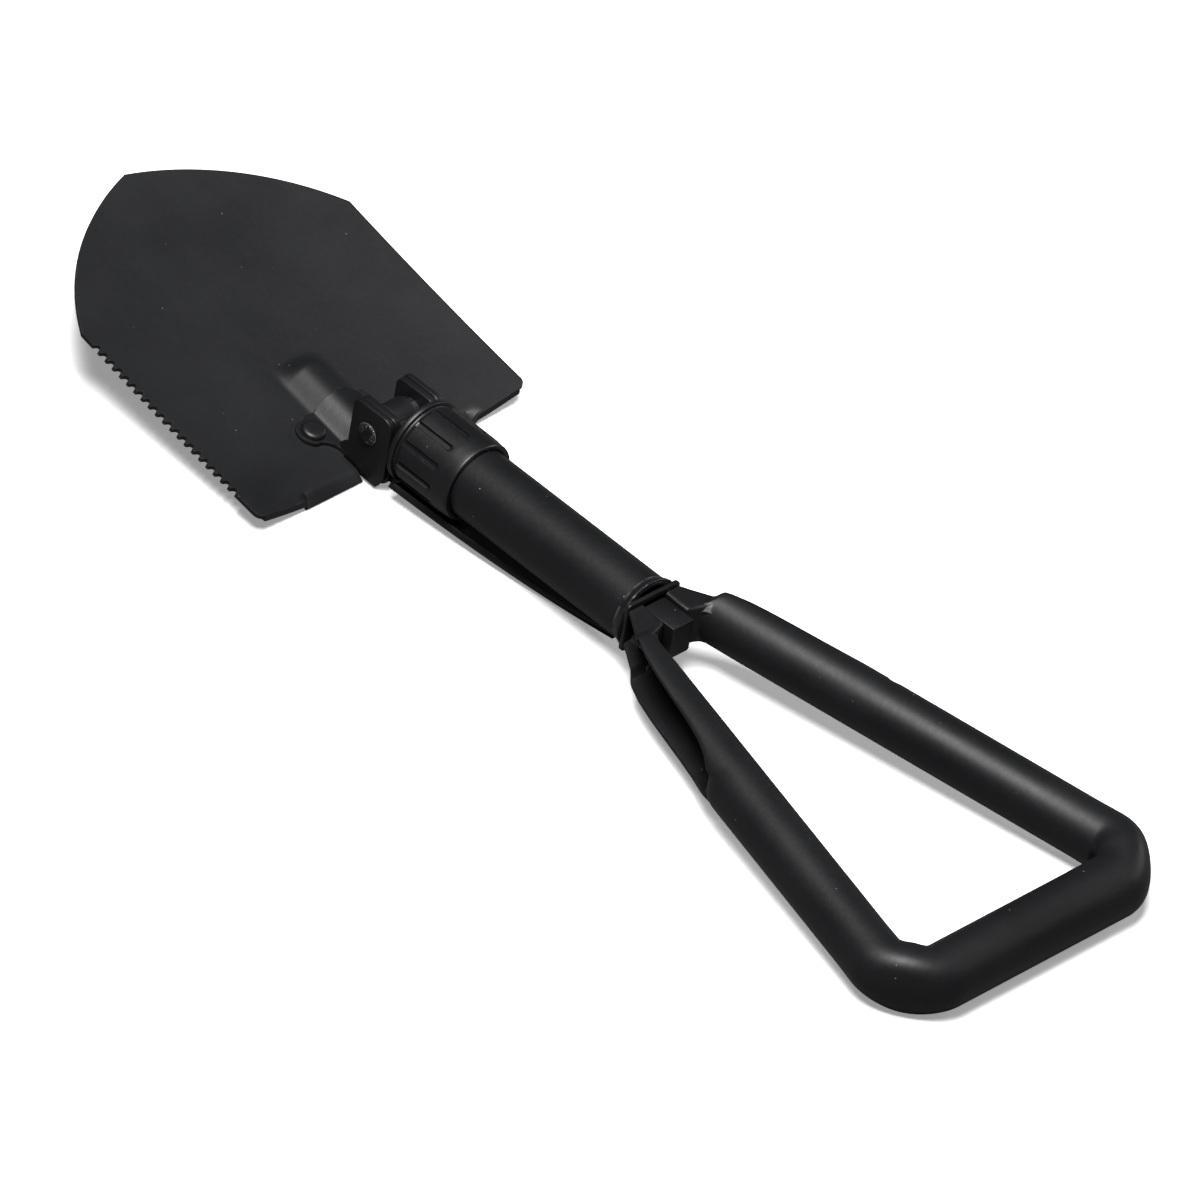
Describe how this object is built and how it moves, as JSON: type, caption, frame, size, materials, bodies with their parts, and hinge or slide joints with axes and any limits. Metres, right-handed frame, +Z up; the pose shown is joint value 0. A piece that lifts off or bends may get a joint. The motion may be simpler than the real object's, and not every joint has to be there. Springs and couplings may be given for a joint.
{
  "type": "folding shovel",
  "caption": "Folding camp shovel with serrated dished blade, stowed pick, fluted locking collar on a steel tube and a folding D-grip.",
  "frame": {"origin": "middle of the bounding box on the ground, under the unfolded tool lying on its back", "axes": "+X from the blade's tip to the grip, +Z up, +Y to the blade's plain side"},
  "size_m": [0.5728, 0.1614, 0.0459],
  "materials": {
    "coat": "satin black powder coat, fine grain",
    "coat_smooth": "smooth satin black powder coat",
    "steel": "turned, zinc-plated",
    "dark_steel": "oiled, blackened",
    "brass": "turned, unpolished"
  },
  "bodies": {
    "shaft": {"shaft_tube": "coat_smooth", "threaded_sleeve": "steel", "bar_guide_front": "brass", "bar_guide_rear": "brass", "end_plate": "coat", "end_ferrule": "coat_smooth"},
    "ring": {"thrust_ring": "steel"},
    "collar": {"collar_nut": "coat_smooth", "collar_clip": "dark_steel"},
    "core": {"pull_bar": "steel", "bar_knuckle": "dark_steel", "hinge_plate_left": "coat", "hinge_plate_right": "coat", "hinge_spacer_left": "steel", "hinge_spacer_right": "steel", "hinge_pin": "coat_smooth", "pick_pin": "coat_smooth", "tail_block": "coat", "grip_pin": "coat_smooth", "grip_bush_left": "dark_steel", "grip_bush_right": "dark_steel"},
    "blade": {"blade": "coat", "blade_bracket": "coat", "bracket_rivet_left": "coat_smooth", "bracket_rivet_right": "coat_smooth"},
    "pick": {"pick": "coat"},
    "grip": {"grip_loop": "coat_smooth"}
  },
  "joints": [
    {"name": "collar_travel", "type": "slide", "parent": "shaft", "child": "ring", "axis": [1, 0, 0], "range_m": [0, 0.0045]},
    {"name": "collar_turn", "type": "hinge", "parent": "ring", "child": "collar", "pos_m": [-0.0803, 0, 0.026], "axis": [1, 0, 0], "range_deg": [0, 540.5]},
    {"name": "bar_slide", "type": "slide", "parent": "shaft", "child": "core", "axis": [1, 0, 0], "range_m": [0, 0.0021]},
    {"name": "blade_fold", "type": "hinge", "parent": "core", "child": "blade", "pos_m": [-0.1143, 0, 0.026], "axis": [0, 1, 0], "range_deg": [0, 150]},
    {"name": "pick_fold", "type": "hinge", "parent": "core", "child": "pick", "pos_m": [-0.1073, 0, 0.0075], "axis": [0, 1, 0], "range_deg": [0, 90]},
    {"name": "grip_fold", "type": "hinge", "parent": "core", "child": "grip", "pos_m": [0.0529, 0, 0.026], "axis": [0, 1, 0], "range_deg": [0, 90]}
  ],
  "couplings": [
    {"joint": "collar_turn", "follows": "collar_travel", "rad_per_m": 2094.4},
    {"joint": "bar_slide", "follows": "collar_travel", "ratio": 0.44444}
  ]
}
